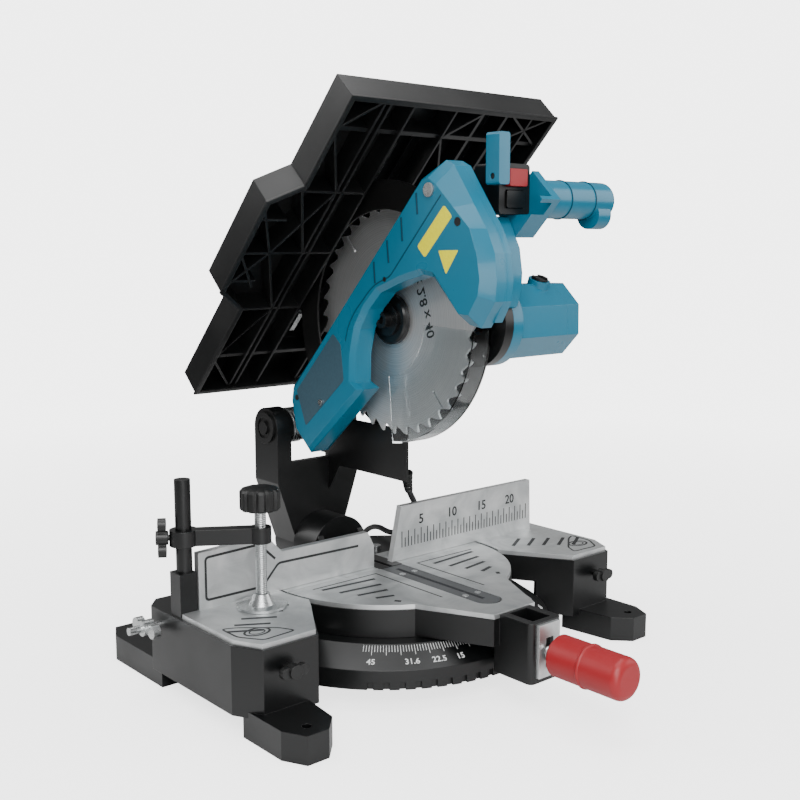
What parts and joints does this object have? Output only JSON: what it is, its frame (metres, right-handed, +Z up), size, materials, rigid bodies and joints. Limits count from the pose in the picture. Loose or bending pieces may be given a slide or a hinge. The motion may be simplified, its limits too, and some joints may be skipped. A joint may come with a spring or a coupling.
{
  "type": "mitre saw",
  "caption": "Bench mitre saw with a hinged head, round saw blade, clear guard, turntable, fences, work clamp and an upper saw table.",
  "frame": {"origin": "centre of the four bench holes on the bench plane, straight below the turntable's axis", "axes": "+X to the operator's right, -Y towards the operator, +Z up; the blade plane is x = 0 and the fence's face is y = 0"},
  "size_m": [0.566, 0.6995, 0.6217],
  "materials": {
    "black_cast": "satin black powder coat",
    "bright_aluminium": "brushed",
    "steel": "zinc plated",
    "blade_steel": "ground",
    "teal_plastic": "moulded, fine texture",
    "black_plastic": "moulded",
    "red_plastic": "moulded",
    "clear_guard": "clear polycarbonate",
    "rubber": "matt",
    "copper_iron": "laminated core and windings"
  },
  "bodies": {
    "base": {"base_casting": "black_cast", "side_table_plates": "bright_aluminium", "left_fence": "bright_aluminium", "right_fence": "bright_aluminium", "fence_bolts": "steel", "side_rod": "steel", "cord_lead": "rubber", "cord_coil": "rubber", "plug": "black_plastic"},
    "left_wing": {"left_wing_bolt": "black_plastic"},
    "right_wing": {"right_wing_bolt": "black_plastic"},
    "clamp_post": {"clamp_post": "black_cast"},
    "clamp_arm": {"clamp_arm": "black_cast"},
    "clamp_wing": {"clamp_wing_knob": "black_plastic"},
    "clamp_spindle": {"clamp_spindle": "black_plastic", "clamp_pad": "steel"},
    "turntable": {"turntable_casting": "black_cast", "turntable_plate": "bright_aluminium", "kerf_insert": "black_plastic", "turntable_screws": "steel", "arm_front_plate": "bright_aluminium", "pivot_bolt": "steel", "bevel_bracket": "black_cast", "bevel_pin": "steel", "cord_upper": "rubber"},
    "mitre_handle": {"mitre_handle_rod": "steel", "mitre_handle_grip": "red_plastic"},
    "bevel_arm": {"bevel_arm": "black_cast", "head_shaft": "black_plastic", "return_spring": "steel", "rear_guard": "black_cast"},
    "bevel_lever": {"bevel_lever": "black_plastic"},
    "head": {"blade_cover": "teal_plastic", "cover_screws": "steel", "head_casting": "black_cast", "inner_guard": "black_plastic", "belt_cover": "teal_plastic", "motor_housing": "teal_plastic", "motor_end_cap": "teal_plastic", "stator": "copper_iron", "ball_bearings": "steel", "brush_cap": "black_plastic", "belt": "rubber", "handle": "teal_plastic", "switch_box": "black_plastic"},
    "stop_button": {"stop_button": "red_plastic"},
    "start_button": {"start_button": "black_plastic"},
    "switch_flap": {"switch_flap": "teal_plastic"},
    "rotor": {"rotor": "copper_iron"},
    "blade": {"arbor": "steel", "saw_blade": "blade_steel", "blade_flanges": "black_plastic", "arbor_bolt": "black_plastic"},
    "lower_guard": {"lower_guard": "clear_guard"},
    "upper_table": {"upper_table": "black_cast", "table_insert": "bright_aluminium", "guide_columns": "steel", "riving_knife": "steel"},
    "rip_fence": {"rip_fence": "bright_aluminium"},
    "blade_dome": {"blade_dome": "clear_guard"}
  },
  "joints": [
    {"name": "mitre", "type": "hinge", "parent": "base", "child": "turntable", "pos_m": [0, 0, 0.06], "axis": [0, 0, 1], "range_deg": [-45, 31.6], "deforming": ["cord_lead"]},
    {"name": "mitre_lock", "type": "hinge", "parent": "turntable", "child": "mitre_handle", "pos_m": [0, -0.262, 0.063], "axis": [0, 1, 0], "range_deg": [-90, 90]},
    {"name": "bevel", "type": "hinge", "parent": "turntable", "child": "bevel_arm", "pos_m": [0, 0.126, 0.095], "axis": [0, 1, 0], "range_deg": [-45, 0], "deforming": ["cord_upper"]},
    {"name": "bevel_clamp", "type": "hinge", "parent": "bevel_arm", "child": "bevel_lever", "pos_m": [0, 0.19, 0.095], "axis": [0, 1, 0], "range_deg": [-30, 30]},
    {"name": "head_pivot", "type": "hinge", "parent": "bevel_arm", "child": "head", "pos_m": [0, 0.15, 0.241], "axis": [1, 0, 0], "range_deg": [0, 46], "stiffness_Nm_per_rad": 16, "springref_deg": -85.94},
    {"name": "guard_swing", "type": "hinge", "parent": "head", "child": "lower_guard", "pos_m": [0, -0.01595, 0.37685], "axis": [1, 0, 0], "range_deg": [-92, 0]},
    {"name": "blade_spin", "type": "hinge", "parent": "head", "child": "blade", "pos_m": [0, -0.01595, 0.37685], "axis": [1, 0, 0], "continuous": true},
    {"name": "rotor_spin", "type": "hinge", "parent": "head", "child": "rotor", "pos_m": [0, -0.11919, 0.37724], "axis": [1, 0, 0], "continuous": true},
    {"name": "table_lift", "type": "slide", "parent": "head", "child": "upper_table", "axis": [0, -0.7193, -0.6947], "range_m": [0, 0.03]},
    {"name": "rip_fence_slide", "type": "slide", "parent": "upper_table", "child": "rip_fence", "axis": [1, 0, 0], "range_m": [-0.05, 0.02]},
    {"name": "dome_tilt", "type": "hinge", "parent": "upper_table", "child": "blade_dome", "pos_m": [0, 0.19221, 0.39019], "axis": [-1, 0, 0], "range_deg": [0, 45]},
    {"name": "stop_press", "type": "slide", "parent": "head", "child": "stop_button", "axis": [0, 1, 0], "range_m": [0, 0.004], "stiffness_N_per_m": 900, "springref_m": -0.002},
    {"name": "start_press", "type": "slide", "parent": "head", "child": "start_button", "axis": [0, 1, 0], "range_m": [0, 0.003], "stiffness_N_per_m": 900, "springref_m": -0.002},
    {"name": "flap_swing", "type": "hinge", "parent": "head", "child": "switch_flap", "pos_m": [0.002, -0.172, 0.524], "axis": [1, 0, 0], "range_deg": [0, 60], "stiffness_Nm_per_rad": 0.08, "springref_deg": -28.65},
    {"name": "clamp_swivel", "type": "hinge", "parent": "base", "child": "clamp_post", "pos_m": [-0.253, 0.012, 0.1], "axis": [0, 0, 1], "range_deg": [-40, 0]},
    {"name": "clamp_arm_slide", "type": "slide", "parent": "clamp_post", "child": "clamp_arm", "axis": [0, 0, 1], "range_m": [0, 0.03]},
    {"name": "clamp_arm_lock", "type": "hinge", "parent": "clamp_arm", "child": "clamp_wing", "pos_m": [-0.26984, 0.02279, 0.17], "axis": [0.842, -0.5394, 0], "range_deg": [-90, 90]},
    {"name": "clamp_screw", "type": "slide", "parent": "clamp_arm", "child": "clamp_spindle", "axis": [0, 0, 1], "range_m": [0, 0.02]},
    {"name": "left_wing_turn", "type": "hinge", "parent": "base", "child": "left_wing", "pos_m": [-0.225, -0.13, 0.068], "axis": [0, 1, 0], "range_deg": [-90, 90]},
    {"name": "right_wing_turn", "type": "hinge", "parent": "base", "child": "right_wing", "pos_m": [0.225, -0.13, 0.068], "axis": [0, 1, 0], "range_deg": [-90, 90]}
  ],
  "couplings": [
    {"joint": "guard_swing", "follows": "head_pivot", "ratio": -1.95},
    {"joint": "rotor_spin", "follows": "blade_spin", "ratio": 2.1667}
  ]
}
